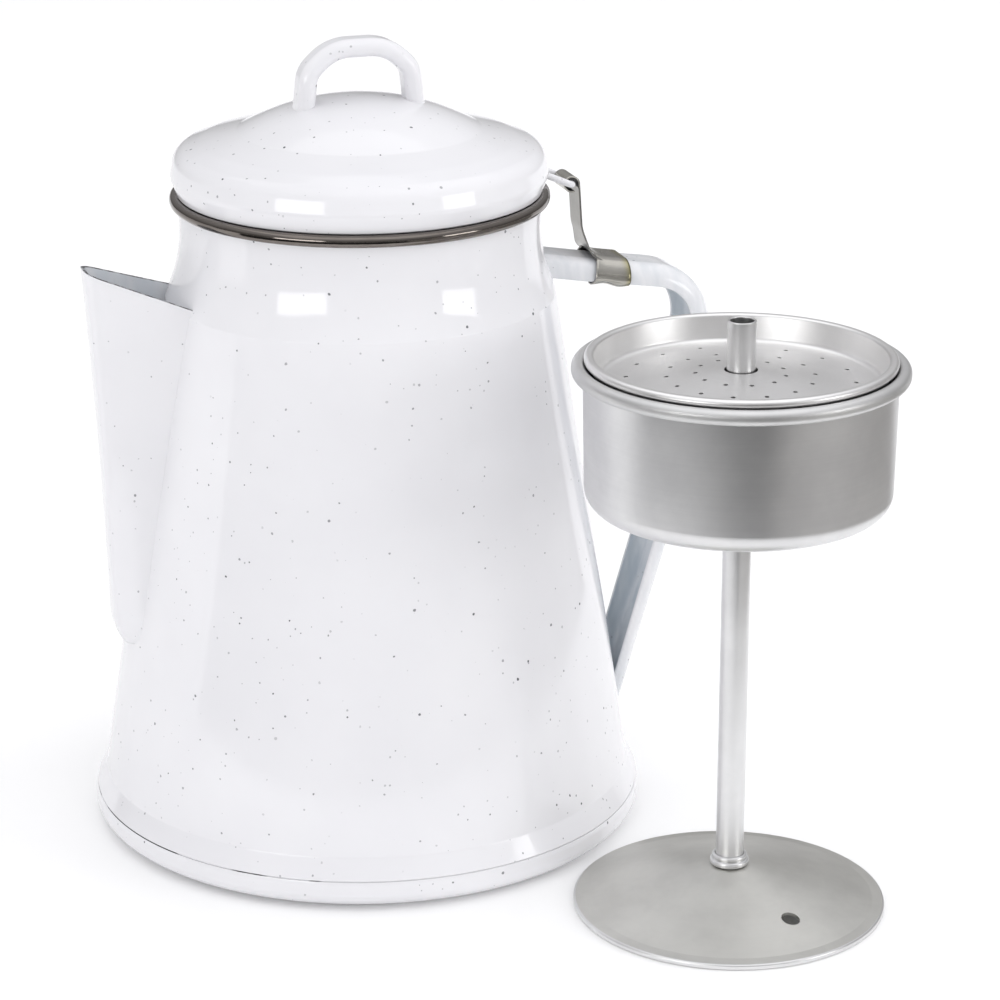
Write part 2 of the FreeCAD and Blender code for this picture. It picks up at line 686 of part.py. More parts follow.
for piece in pot_parts + lid_parts + insert_parts:
    shape = piece.Shape
    if shape.isNull() or not shape.isValid() or len(shape.Solids) != 1:
        raise RuntimeError("%s is not one valid solid (%d)" % (piece.Label, len(shape.Solids)))
    piece.Shape.exportStep("parts/%s.step" % piece.Label)
    box = shape.BoundBox
    print("%-16s %9.1f mm3  x %.1f..%.1f  y %.1f..%.1f  z %.1f..%.1f" % (
        piece.Label, shape.Volume, box.XMin, box.XMax, box.YMin, box.YMax, box.ZMin, box.ZMax))
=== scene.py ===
import math

import bmesh
import bpy
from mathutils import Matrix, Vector


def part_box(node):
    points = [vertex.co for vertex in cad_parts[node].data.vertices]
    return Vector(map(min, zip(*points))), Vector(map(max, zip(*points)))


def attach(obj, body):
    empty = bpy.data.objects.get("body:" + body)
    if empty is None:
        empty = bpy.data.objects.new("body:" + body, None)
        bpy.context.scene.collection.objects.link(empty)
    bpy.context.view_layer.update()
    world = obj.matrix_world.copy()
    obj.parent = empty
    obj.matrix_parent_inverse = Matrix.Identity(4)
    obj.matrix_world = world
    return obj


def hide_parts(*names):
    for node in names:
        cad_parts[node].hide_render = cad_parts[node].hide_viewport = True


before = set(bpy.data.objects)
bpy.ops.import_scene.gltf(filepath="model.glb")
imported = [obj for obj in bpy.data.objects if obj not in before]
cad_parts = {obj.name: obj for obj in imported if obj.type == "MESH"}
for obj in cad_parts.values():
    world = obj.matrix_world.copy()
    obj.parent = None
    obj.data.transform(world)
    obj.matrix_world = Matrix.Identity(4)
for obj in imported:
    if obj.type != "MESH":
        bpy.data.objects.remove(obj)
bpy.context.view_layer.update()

MM = 0.001
scene = bpy.context.scene


# ---------------------------------------------------------------- node helpers

def new_material(name):
    """An empty node material with its output and a Principled shader."""
    material = bpy.data.materials.new(name)
    material.use_nodes = True
    tree = material.node_tree
    tree.nodes.clear()
    out = tree.nodes.new("ShaderNodeOutputMaterial")
    shader = tree.nodes.new("ShaderNodeBsdfPrincipled")
    tree.links.new(shader.outputs["BSDF"], out.inputs["Surface"])
    return material, tree, shader


def node(tree, kind, inputs=None, **settings):
    """One shader node, with its properties and its inputs set or linked."""
    made = tree.nodes.new(kind)
    for key, value in settings.items():
        setattr(made, key, value)
    for key, value in (inputs or {}).items():
        if isinstance(value, bpy.types.NodeSocket):
            tree.links.new(value, made.inputs[key])
        else:
            made.inputs[key].default_value = value
    return made


def maths(tree, operation, a, b):
    return node(tree, "ShaderNodeMath", {0: a, 1: b}, operation=operation).outputs[0]


def multiply_add(tree, value, factor, addend):
    return node(tree, "ShaderNodeMath", {0: value, 1: factor, 2: addend}, operation="MULTIPLY_ADD").outputs[0]


def ramp(tree, value, low, high):
    """0 below low, 1 above high, smooth between."""
    made = node(tree, "ShaderNodeMapRange", {"Value": value, "From Min": low, "From Max": high},
                interpolation_type="SMOOTHSTEP")
    return made.outputs["Result"]


def mix(tree, share, a, b):
    made = tree.nodes.new("ShaderNodeMix")
    made.data_type = "RGBA"
    for index, value in ((0, share), (6, a), (7, b)):
        if isinstance(value, bpy.types.NodeSocket):
            tree.links.new(value, made.inputs[index])
        else:
            made.inputs[index].default_value = value
    return made.outputs[2]


def place_in(tree, stretch=(1, 1, 1)):
    """The object's own coordinates in metres, stretched per axis."""
    coords = tree.nodes.new("ShaderNodeTexCoord")
    scaled = node(tree, "ShaderNodeMapping", {"Vector": coords.outputs["Object"], "Scale": stretch})
    return scaled.outputs["Vector"]


def noise(tree, where, scale, detail=2.0, roughness=0.5):
    made = node(tree, "ShaderNodeTexNoise",
                {"Vector": where, "Scale": scale, "Detail": detail, "Roughness": roughness})
    return made.outputs["Fac"]


def bump(tree, height, strength, distance):
    made = node(tree, "ShaderNodeBump", {"Height": height, "Strength": strength, "Distance": distance})
    return made.outputs["Normal"]


def link(tree, value, shader, socket):
    tree.links.new(value, shader.inputs[socket])


# ---------------------------------------------------------------- materials

def specks(tree, where, cell, smallest, largest, kept):
    """A mask of small blots round random points, one to a cell and only in some cells.

    cell, smallest and largest are metres, the last two radii; kept is the share of cells with a blot.
    """
    ragged, soft_edge = 0.00045, 0.00012
    wobble = node(tree, "ShaderNodeTexNoise", {"Vector": where, "Scale": 1300.0, "Detail": 2.0})
    shift = node(tree, "ShaderNodeVectorMath", {0: wobble.outputs["Color"], 1: (0.5, 0.5, 0.5)}, operation="SUBTRACT")
    small = node(tree, "ShaderNodeVectorMath", {0: shift.outputs[0], "Scale": ragged}, operation="SCALE")
    moved = node(tree, "ShaderNodeVectorMath", {0: where, 1: small.outputs[0]}, operation="ADD")
    cells = node(tree, "ShaderNodeTexVoronoi", {"Vector": moved.outputs[0], "Scale": 1.0 / cell, "Randomness": 1.0})
    parts = node(tree, "ShaderNodeSeparateColor", {0: cells.outputs["Color"]})
    radius = multiply_add(tree, parts.outputs[0], (largest - smallest) / cell, smallest / cell)
    inside = maths(tree, "SUBTRACT", radius, cells.outputs["Distance"])
    edge = ramp(tree, inside, 0.0, soft_edge / cell)
    present = maths(tree, "LESS_THAN", parts.outputs[1], kept)
    strength = multiply_add(tree, parts.outputs[2], 0.75, 0.25)
    return maths(tree, "MULTIPLY", maths(tree, "MULTIPLY", edge, present), strength)


def enamel_material(name="speckled_enamel", streak_tones=None):
    """White vitreous enamel: a deep gloss, fine grey specks, and a faint wave in the surface.

    Where two streak colours are given, they replace the white in drawn-out streaks.
    """
    material, tree, shader = new_material(name)
    where = place_in(tree)
    cloud = noise(tree, where, 22.0, 3.0)
    white = mix(tree, ramp(tree, cloud, 0.35, 0.7), (0.765, 0.762, 0.787, 1), (0.795, 0.792, 0.815, 1))
    crowd = ramp(tree, noise(tree, where, 30.0, 2.0), 0.30, 0.62)
    fine = maths(tree, "MULTIPLY", specks(tree, where, 0.0031, 0.00012, 0.00042, 0.95), crowd)
    coarse = specks(tree, where, 0.0044, 0.00024, 0.00052, 0.66)
    both = maths(tree, "MAXIMUM", fine, coarse)
    if streak_tones:
        streak = ramp(tree, noise(tree, place_in(tree, (1, 1, 0.16)), 170.0, 3.0), 0.32, 0.68)
        white = mix(tree, streak, streak_tones[0], streak_tones[1])
    dotted = mix(tree, both, white, (0.10, 0.106, 0.118, 1))
    link(tree, dotted, shader, "Base Color")
    rough = multiply_add(tree, noise(tree, where, 140.0, 2.0), 0.05, 0.055)
    link(tree, rough, shader, "Roughness")
    shader.inputs["IOR"].default_value = 1.52
    wave = noise(tree, where, 75.0, 2.0)
    link(tree, bump(tree, wave, 0.10, 0.0006), shader, "Normal")
    return material


def band_material():
    """Rolled stainless band: mirror-like, drawn out along the rim; its tones sit far below steel's, a painted dark
    reflection.
    """
    material, tree, shader = new_material("band_steel_painted_dark")
    where = place_in(tree, (1, 1, 14))
    smear = noise(tree, where, 90.0, 4.0, 0.6)
    # Painted dark reflection: near-black tones in place of bare steel's.
    link(tree, mix(tree, smear, (0.13, 0.112, 0.10, 1), (0.25, 0.228, 0.21, 1)), shader, "Base Color")
    shader.inputs["Metallic"].default_value = 1.0
    rough = multiply_add(tree, smear, 0.10, 0.03)
    link(tree, rough, shader, "Roughness")
    link(tree, bump(tree, smear, 0.08, 0.0003), shader, "Normal")
    return material


def spring_material(name, low, high):
    """Brushed spring steel between two tones, heat-tinted yellow-green towards the clip's outer end."""
    material, tree, shader = new_material(name)
    grain = noise(tree, place_in(tree, (0.03, 1, 1)), 2600.0, 3.0, 0.6)
    blotch = noise(tree, place_in(tree), 160.0, 3.0)
    steel = mix(tree, blotch, low, high)
    coords = tree.nodes.new("ShaderNodeTexCoord")
    x = node(tree, "ShaderNodeSeparateXYZ", {0: coords.outputs["Object"]}).outputs[0]
    clip_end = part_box("hinge_clip")[1].x
    edge = maths(tree, "ADD", x, maths(tree, "MULTIPLY", blotch, 0.002))
    tint = ramp(tree, edge, clip_end - 0.0022, clip_end + 0.0012)
    link(tree, mix(tree, tint, steel, (0.34, 0.31, 0.15, 1)), shader, "Base Color")
    shader.inputs["Metallic"].default_value = 1.0
    rough = multiply_add(tree, grain, 0.18, 0.12)
    link(tree, rough, shader, "Roughness")
    link(tree, bump(tree, grain, 0.05, 0.00008), shader, "Normal")
    return material


stem_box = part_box("pump_stem")
PUMP_AXIS = ((stem_box[0].x + stem_box[1].x) / 2, (stem_box[0].y + stem_box[1].y) / 2, 0.0)


def round_the_stem(tree):
    """Radius from the stem's axis and height, as a vector: what is spun on a lathe is even round the axis."""
    coords = tree.nodes.new("ShaderNodeTexCoord")
    moved = node(tree, "ShaderNodeVectorMath", {0: coords.outputs["Object"], 1: PUMP_AXIS}, operation="SUBTRACT")
    flat = node(tree, "ShaderNodeVectorMath", {0: moved.outputs[0], 1: (1, 1, 0)}, operation="MULTIPLY")
    length = node(tree, "ShaderNodeVectorMath", {0: flat.outputs[0]}, operation="LENGTH").outputs["Value"]
    height = node(tree, "ShaderNodeSeparateXYZ", {0: moved.outputs[0]}).outputs[2]
    return node(tree, "ShaderNodeCombineXYZ", {0: length, 1: height}).outputs[0]


def aluminium_material(name, low, high, rough_low, rough_high, rings, grain_scale, grit):
    """Satin aluminium between two tones: fine grit, soft blotches, and spun rings as strong as the share rings."""
    material, tree, shader = new_material(name)
    where = place_in(tree)
    grain = noise(tree, where, grain_scale, 3.0, 0.65)
    blotch = noise(tree, where, 45.0, 4.0, 0.6)
    spun = noise(tree, round_the_stem(tree), 900.0, 3.0, 0.7)
    tone = mix(tree, ramp(tree, blotch, 0.3, 0.7), low, high)
    lines = maths(tree, "MULTIPLY", spun, rings)
    link(tree, mix(tree, lines, tone, tuple(0.82 * c for c in low[:3]) + (1,)), shader, "Base Color")
    shader.inputs["Metallic"].default_value = 1.0
    both = maths(tree, "ADD", maths(tree, "MULTIPLY", grain, 1.0 - rings), maths(tree, "MULTIPLY", spun, rings))
    spread = multiply_add(tree, both, rough_high - rough_low, rough_low)
    link(tree, spread, shader, "Roughness")
    link(tree, bump(tree, both, grit, 0.00006), shader, "Normal")
    return material


def inner_face_shade_material():
    """Painted shade on the spring's inner face: near black, mottled lighter in patches."""
    material, tree, shader = new_material("inner_face_painted_shade")
    mottle = ramp(tree, noise(tree, place_in(tree), 300.0, 3.0), 0.62, 0.74)
    link(tree, mix(tree, mottle, (0.022, 0.021, 0.02, 1), (0.12, 0.115, 0.105, 1)), shader, "Base Color")
    shader.inputs["Metallic"].default_value = 0.6
    shader.inputs["Roughness"].default_value = 0.5
    return material


def bare_edge_material():
    """Sheared edge of the sheet where the enamel has drawn back: dark oxide under a broken white line."""
    material, tree, shader = new_material("bare_iron_edge")
    where = place_in(tree)
    broken = ramp(tree, noise(tree, where, 420.0, 3.0, 0.6), 0.50, 0.62)
    link(tree, mix(tree, broken, (0.055, 0.055, 0.06, 1), (0.36, 0.37, 0.39, 1)), shader, "Base Color")
    shader.inputs["Roughness"].default_value = 0.45
    link(tree, bump(tree, noise(tree, where, 900.0, 2.0), 0.4, 0.0001), shader, "Normal")
    return material


def groove_material():
    """Seam between shell and bottom: filled with enamel, but bare and near black in patches towards -X."""
    material, tree, shader = new_material("seam_groove")
    where = place_in(tree)
    side = node(tree, "ShaderNodeSeparateXYZ", {0: where}).outputs[0]
    patchy = maths(tree, "ADD", noise(tree, where, 60.0, 3.0), maths(tree, "MULTIPLY", side, -2.0))
    bare = ramp(tree, patchy, 0.60, 0.68)
    link(tree, mix(tree, bare, (0.72, 0.72, 0.74, 1), (0.03, 0.03, 0.035, 1)), shader, "Base Color")
    shader.inputs["Roughness"].default_value = 0.5
    return material


ENAMEL = enamel_material()
# The handle's outside: enamel greyed in streaks, painted shade.
HANDLE_OUTSIDE_SHADED = enamel_material("handle_outside_painted_shade", ((0.775, 0.778, 0.80, 1), (0.66, 0.68, 0.71, 1)))
# Inside the spout: enamel in grey-blue streaks.
SPOUT_INSIDE = enamel_material("spout_inside_streaked_enamel", ((0.80, 0.81, 0.83, 1), (0.70, 0.735, 0.77, 1)))
# The channel's inside: darker blue-grey enamel in streaks, painted shade.
HANDLE_INSIDE_SHADED = enamel_material("handle_channel_painted_shade", ((0.70, 0.735, 0.765, 1), (0.48, 0.545, 0.60, 1)))
INNER_FACE_SHADE = inner_face_shade_material()
BAND_PAINTED_DARK = band_material()
SPRING = spring_material("spring_steel", (0.38, 0.368, 0.335, 1), (0.56, 0.545, 0.50, 1))
# The tongue takes a darker copy of the spring steel: painted dark reflection.
TONGUE_PAINTED_DARK = spring_material("tongue_steel_painted_dark", (0.22, 0.213, 0.20, 1), (0.33, 0.32, 0.30, 1))
RIM_METAL = aluminium_material(
    "rim_aluminium", (0.68, 0.68, 0.68, 1), (0.76, 0.76, 0.755, 1), 0.42, 0.52, 0.20, 1800.0, 0.12)
STEM_METAL = aluminium_material(
    "stem_aluminium", (0.74, 0.74, 0.74, 1), (0.82, 0.82, 0.82, 1), 0.26, 0.34, 0.05, 2600.0, 0.05)
BASKET_METAL = aluminium_material(
    "basket_aluminium", (0.74, 0.74, 0.745, 1), (0.83, 0.83, 0.83, 1), 0.31, 0.42, 0.30, 1800.0, 0.10)
PLATE_METAL = aluminium_material(
    "plate_aluminium", (0.86, 0.855, 0.85, 1), (0.93, 0.925, 0.92, 1), 0.32, 0.42, 0.25, 1800.0, 0.10)
FOOT_METAL = aluminium_material(
    "foot_aluminium", (0.64, 0.635, 0.605, 1), (0.73, 0.725, 0.69, 1), 0.38, 0.50, 0.12, 2200.0, 0.16)
BARE_EDGE = bare_edge_material()
GROOVE = groove_material()


# ---------------------------------------------------------------- mesh helpers (millimetres in, metres out)

SHARP_DEGREES = 35.0


def rounded(corners, step=math.radians(6.0)):
    """Points along a closed outline of (x, y) or (x, y, radius) corners, the rounded ones as arcs."""
    points = []
    for i, corner in enumerate(corners):
        here = Vector(corner[:2])
        if len(corner) == 2:
            points.append(here)
            continue
        back = (Vector(corners[i - 1][:2]) - here).normalized()
        ahead = (Vector(corners[(i + 1) % len(corners)][:2]) - here).normalized()
        half = back.angle(ahead) / 2
        centre = here + (back + ahead).normalized() * (corner[2] / math.sin(half))
        first = here + back * (corner[2] / math.tan(half)) - centre
        last = here + ahead * (corner[2] / math.tan(half)) - centre
        start = math.atan2(first.y, first.x)
        sweep = math.atan2(first.cross(last), first.dot(last))
        count = max(2, math.ceil(abs(sweep) / step))
        for k in range(count + 1):
            angle = start + sweep * k / count
            points.append(centre + Vector((math.cos(angle), math.sin(angle))) * corner[2])
    return points


def subdivided(points, longest, closed=True):
    """The same line with no stretch longer than a length."""
    made = []
    count = len(points)
    for i in range(count if closed else count - 1):
        a, b = points[i], points[(i + 1) % count]
        steps = max(1, math.ceil((b - a).length / longest))
        made += [a.lerp(b, k / steps) for k in range(steps)]
    if not closed:
        made.append(points[-1])
    return made


def piece(name, vertices, faces, body, material, replaces, sharp=SHARP_DEGREES, face_looks=None, turned=False):
    """A finished mesh piece in the row frame that rides on a body and stands for its CAD nodes.

    vertices are metres; material is one look or a list that face_looks picks from; turned says that the
    faces already look the right way.
    """
    mesh = bpy.data.meshes.new(name)
    mesh.from_pydata([tuple(v) for v in vertices], [], faces)
    looks = [material] if not isinstance(material, (list, tuple)) else list(material)
    for look in looks:
        mesh.materials.append(look)
    if face_looks:
        mesh.polygons.foreach_set("material_index", face_looks)
    made = bmesh.new()
    made.from_mesh(mesh)
    bmesh.ops.remove_doubles(made, verts=made.verts, dist=1e-7)
    bmesh.ops.dissolve_degenerate(made, edges=made.edges, dist=1e-7)
    if not turned:
        bmesh.ops.recalc_face_normals(made, faces=made.faces)
    made.to_mesh(mesh)
    made.free()
    mesh.shade_smooth()
    mesh.set_sharp_from_angle(angle=math.radians(sharp))
    thing = bpy.data.objects.new(name, mesh)
    scene.collection.objects.link(thing)
    weighted = thing.modifiers.new("weighted", "WEIGHTED_NORMAL")
    weighted.keep_sharp = True
    weighted.weight = 60
    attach(thing, body)
    for cad_node in replaces:
        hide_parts(cad_node)
    return thing


def lathe(name, points, body, material, replaces, centre=(0.0, 0.0), segments=256, look_of=None):
    """Turns an outline of (radius, height) points about a vertical axis; look_of(a, b) picks each ring's look."""
    rings = []
    vertices = []
    for point in points:
        if point.x < 1e-6:
            rings.append([len(vertices)] * segments)
            vertices.append((centre[0] * MM, centre[1] * MM, point.y * MM))
            continue
        rings.append(list(range(len(vertices), len(vertices) + segments)))
        for k in range(segments):
            angle = 2 * math.pi * k / segments
            vertices.append(((centre[0] + point.x * math.cos(angle)) * MM,
                             (centre[1] + point.x * math.sin(angle)) * MM, point.y * MM))
    faces = []
    indices = []
    for i, ring in enumerate(rings):
        following = rings[(i + 1) % len(rings)]
        if ring[0] == ring[1] and following[0] == following[1]:
            continue
        look = look_of(points[i], points[(i + 1) % len(points)]) if look_of else 0
        for k in range(segments):
            n = (k + 1) % segments
            corners = [ring[k], ring[n], following[n], following[k]]
            faces.append(list(dict.fromkeys(corners)))
            indices.append(look)
    return piece(name, vertices, faces, body, material, replaces, face_looks=indices)


def cut_holes(thing, places, diameter, axis, reach, sides=20):
    """Drills round holes through a piece, reaching both ways along the axis from each place."""
    radius = diameter / 2
    turn = Vector((0, 0, 1)).rotation_difference(Vector(axis)).to_matrix()
    vertices, faces = [], []
    for place in places:
        base = len(vertices)
        for end in (-reach, reach):
            for k in range(sides):
                angle = 2 * math.pi * k / sides
                spot = turn @ Vector((radius * math.cos(angle), radius * math.sin(angle), end))
                vertices.append((Vector(place) + spot) * MM)
        faces += [[base + k, base + (k + 1) % sides, base + sides + (k + 1) % sides, base + sides + k]
                  for k in range(sides)]
        faces += [list(range(base + sides - 1, base - 1, -1)), list(range(base + sides, base + 2 * sides))]
    mesh = bpy.data.meshes.new("drills")
    mesh.from_pydata([tuple(v) for v in vertices], [], faces)
    drills = bpy.data.objects.new("drills", mesh)
    scene.collection.objects.link(drills)
    weighted = thing.modifiers["weighted"]
    weighted.show_viewport = False
    drill = thing.modifiers.new("drill", "BOOLEAN")
    drill.object = drills
    drill.operation = "DIFFERENCE"
    drill.solver = "EXACT"
    bpy.context.view_layer.update()
    cut = bpy.data.meshes.new_from_object(thing.evaluated_get(bpy.context.evaluated_depsgraph_get()))
    thing.modifiers.remove(drill)
    thing.data = cut
    cut.set_sharp_from_angle(angle=math.radians(SHARP_DEGREES))
    weighted.show_viewport = True
    bpy.data.objects.remove(drills)


def along(path):
    """Each point of a planar path with the direction to the right of travel there."""
    frames = []
    for i, point in enumerate(path):
        before = path[max(i - 1, 0)]
        after = path[min(i + 1, len(path) - 1)]
        travel = (after - before).normalized()
        frames.append((point, Vector((travel.y, -travel.x))))
    return frames


def planar_sweep(name, path, section, body, material, replaces, stop, sharp, look_of=None):
    """Sweeps section(share of the path), a list of (inward, sideways) points, along a path in the XZ plane.

    stop(spot) is below zero inside what the two ends are welded to: each line of the sweep is cut off there.
    """
    frames = along(path)
    count = len(section(0.0))
    lines = []
    for j in range(count):
        line = []
        for i, (point, inward) in enumerate(frames):
            n, y = section(i / (len(frames) - 1))[j]
            spot = point + inward * n
            line.append(Vector((spot.x, y, spot.y)))
        lines.append(trimmed(line, stop))
    rows = len(frames)
    vertices = [v * MM for line in lines for v in line]
    faces, looks = [], []
    middle = section(0.5)
    for j in range(count):
        k = (j + 1) % count
        look = look_of(middle[j], middle[k]) if look_of else 0
        for i in range(rows - 1):
            faces.append([j * rows + i, j * rows + i + 1, k * rows + i + 1, k * rows + i])
            looks.append(look)
    return piece(name, vertices, faces, body, material, replaces, sharp, looks)


def trimmed(line, stop):
    """The line with its buried ends pulled up to where it leaves the surface."""
    depth = [stop(v) for v in line]
    clear = [i for i, d in enumerate(depth) if d > 0]
    first, last = clear[0], clear[-1]
    made = list(line)
    if first > 0:
        share = depth[first] / (depth[first] - depth[first - 1])
        at = line[first].lerp(line[first - 1], share)
        made[:first] = [at] * first
    if last < len(line) - 1:
        share = depth[last] / (depth[last] - depth[last + 1])
        at = line[last].lerp(line[last + 1], share)
        made[last + 1:] = [at] * (len(line) - last - 1)
    return made


def tube(name, path, radius, body, material, replaces, sides):
    """A round wire along a path in space, with closed ends."""
    vertices, faces = [], []
    side = None
    for i, point in enumerate(path):
        travel = (path[min(i + 1, len(path) - 1)] - path[max(i - 1, 0)]).normalized()
        side = (side or travel.orthogonal()) - travel * (side or travel.orthogonal()).dot(travel)
        side.normalize()
        other = travel.cross(side)
        for k in range(sides):
            angle = 2 * math.pi * k / sides
            vertices.append((point + (side * math.cos(angle) + other * math.sin(angle)) * radius) * MM)
    for i in range(len(path) - 1):
        for k in range(sides):
            n = (k + 1) % sides
            faces.append([i * sides + k, i * sides + n, (i + 1) * sides + n, (i + 1) * sides + k])
    faces.append(list(range(sides - 1, -1, -1)))
    faces.append(list(range((len(path) - 1) * sides, len(path) * sides)))
    return piece(name, vertices, faces, body, material, replaces, 60.0)


def profile_radius(points, height):
    """Outer radius of a profile at a height: the widest crossing."""
    widest = 0.0
    for a, b in zip(points, points[1:]):
        low, high = min(a.y, b.y), max(a.y, b.y)
        if low <= height <= high and high > low:
            widest = max(widest, a.x + (b.x - a.x) * (height - a.y) / (b.y - a.y))
    return widest


# ---------------------------------------------------------------- pot

def in_mm(node_name):
    low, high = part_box(node_name)
    return low / MM, high / MM


pot_low, pot_high = in_mm("pot_body")
SEAM = pot_low.z
BEAD_TOP = pot_high.z
BEAD_BOTTOM = BEAD_TOP - 2.5
BEAD = 54.9
MOUTH = 51.8
NECK = 52.5
HEEL = 82.9
WALL = 1.2
CONE_LOW, CONE_HIGH = (79.5, 15.6), (57.4, 162.0)
OUTSIDE = [
    (HEEL - 0.25, SEAM, 0.2), (*CONE_LOW, 2.0), (*CONE_HIGH, 0.8), (NECK, 174.2, 44.0),
    (NECK + 0.4, BEAD_BOTTOM, 0.2),
]


def outside_line():
    """The shell's outer line as points from the seam to the bead."""
    return rounded(OUTSIDE)


def build_pot():
    """Flared shell with a bead round its mouth and strainer holes behind the spout."""
    inside = [(c[0] - WALL,) + tuple(c[1:]) for c in reversed(OUTSIDE)]
    corners = OUTSIDE + [(BEAD, BEAD_BOTTOM, 1.0), (BEAD, BEAD_TOP, 1.1), (MOUTH, BEAD_TOP, 1.0)] + inside
    shell = lathe("pot_shell", subdivided(rounded(corners), 9.0), "pot", ENAMEL, ["pot_body"], segments=288)
    hole, apart, row_height = 3.5, 5.95, 8.0
    holes = []
    for row in range(8):
        for column in ((-0.5, 0.5) if row % 2 else (-1, 0, 1)):
            holes.append((-66.0, apart * column, 100.0 + row_height * row))
    cut_holes(shell, holes, hole, (1, 0, 0), 14.0)


def build_pan():
    """Flat bottom with its upturned rim, and the groove where the shell's edge sits on it."""
    seam = SEAM - 0.25
    ledge = HEEL - 0.9 - WALL
    rest = 75.6
    corners = [
        (0, 0), (rest, 0, 8.0), (HEEL - 2.3, 1.6, 5.0), (HEEL, 4.0, 3.4), (HEEL, 8.25, 4.6), (HEEL - 0.35, seam, 0.1),
        (HEEL - 0.7, seam), (HEEL - 0.7, SEAM), (ledge - 0.15, SEAM), (ledge - 1.3, seam + 2.8),
        (ledge - 2.1, seam + 2.8), (ledge - 1.05, seam - 0.2, 1.0), (HEEL - 1.25, seam - 1.9, 1.0),
        (HEEL - 1.25, 4.4, 2.5), (HEEL - 3.1, 2.5, 4.0), (rest - 0.4, WALL, 7.0), (0, WALL),
    ]

    def look(a, b):
        middle = (a + b) / 2
        return 1 if middle.x > ledge + 1.15 and middle.y > seam - 0.02 else 0

    lathe("bottom_dish", subdivided(rounded(corners), 12.0), "pot", [ENAMEL, GROOVE], ["bottom_pan", "pan_floor"],
          segments=288, look_of=look)


def build_band():
    """Bright band clenched over the bead."""
    band_low, band_high = in_mm("rim_band")
    outer = band_high.x
    wall, lip = 0.4, 1.7
    inner = outer - wall
    throat = 52.85
    corners = [
        (throat + 0.25, band_low.z), (outer, band_low.z, lip), (outer, band_high.z, lip), (throat, band_high.z),
        (throat, band_high.z - wall), (inner, band_high.z - wall, lip - wall), (inner, band_low.z + wall, lip - wall),
        (throat + 0.25, band_low.z + wall),
    ]
    lathe("mouth_band", rounded(corners, math.radians(9.0)), "pot", BAND_PAINTED_DARK, ["rim_band"], segments=288)


# ---------------------------------------------------------------- spout

# Height, then the nose's reach, the half-width at the cone, and the nose's half-width and rounding.
SPOUT_LEVELS = ((56.0, 77.6, 9.0, 3.4, 3.0), (136.0, 80.2, 12.6, 5.4, 4.8), (183.0, 83.2, 16.4, 7.0, 6.4))
SPOUT_FOOT = 60.0
SPOUT_WALL = 1.1
SPOUT_ACROSS = 61
LIP_ROOT, LIP_TIP = (56.0, 165.0), (82.7, 174.9)


def spout_at(height):
    """Reach, half-width, nose half-width and nose rounding at a height: parabolas through the three levels."""
    (h0, *a), (h1, *b), (h2, *c) = SPOUT_LEVELS
    weights = ((height - h1) * (height - h2) / ((h0 - h1) * (h0 - h2)),
               (height - h0) * (height - h2) / ((h1 - h0) * (h1 - h2)),
               (height - h0) * (height - h1) / ((h2 - h0) * (h2 - h1)))
    return [sum(w * v for w, v in zip(weights, values)) for values in zip(a, b, c)]


def spout_section(height, inset, shell):
    """One level's line round the nose, from one weld to the other, as (x, y) points."""
    reach, half, nose_half, nose = spout_at(height)
    flank = profile_radius(shell, height)
    cone = CONE_HIGH[0] + (CONE_LOW[0] - CONE_HIGH[0]) / (CONE_HIGH[1] - CONE_LOW[1]) * (CONE_HIGH[1] - height)
    closing = min(max((height - SPOUT_FOOT) / 10.5, 0.0), 1.0)
    swell = math.sqrt(1 - (1 - closing) ** 2)
    spread = (half - nose_half) / (reach - cone)
    reach = flank + (reach - flank) * swell - inset
    nose_half = nose_half * (0.6 + 0.4 * swell) - inset * 0.6
    nose = nose * (0.5 + 0.5 * swell) - inset * 0.8
    weld_x = flank
    for _ in range(6):
        weld_half = nose_half + spread * max(reach - weld_x, 0.0)
        weld_x = math.sqrt(max(flank ** 2 - weld_half ** 2, 1.0)) - 0.5
    reach = max(reach, weld_x + 0.25)
    radius = min(nose, (reach - weld_x) * 0.8)
    corners = [(-weld_x, weld_half), (-reach, nose_half, radius), (-reach, -nose_half, radius), (-weld_x, -weld_half)]
    line = rounded(corners, math.radians(5.0))
    return even(line, SPOUT_ACROSS)


def even(line, count):
    """An open line resampled at equal steps."""
    lengths = [0.0]
    for a, b in zip(line, line[1:]):
        lengths.append(lengths[-1] + (b - a).length)
    made = []
    for k in range(count):
        at = lengths[-1] * k / (count - 1)
        i = max(j for j in range(len(line) - 1) if lengths[j] <= at + 1e-9)
        span = lengths[i + 1] - lengths[i]
        made.append(line[i].lerp(line[i + 1], (at - lengths[i]) / span if span else 0.0))
    return made


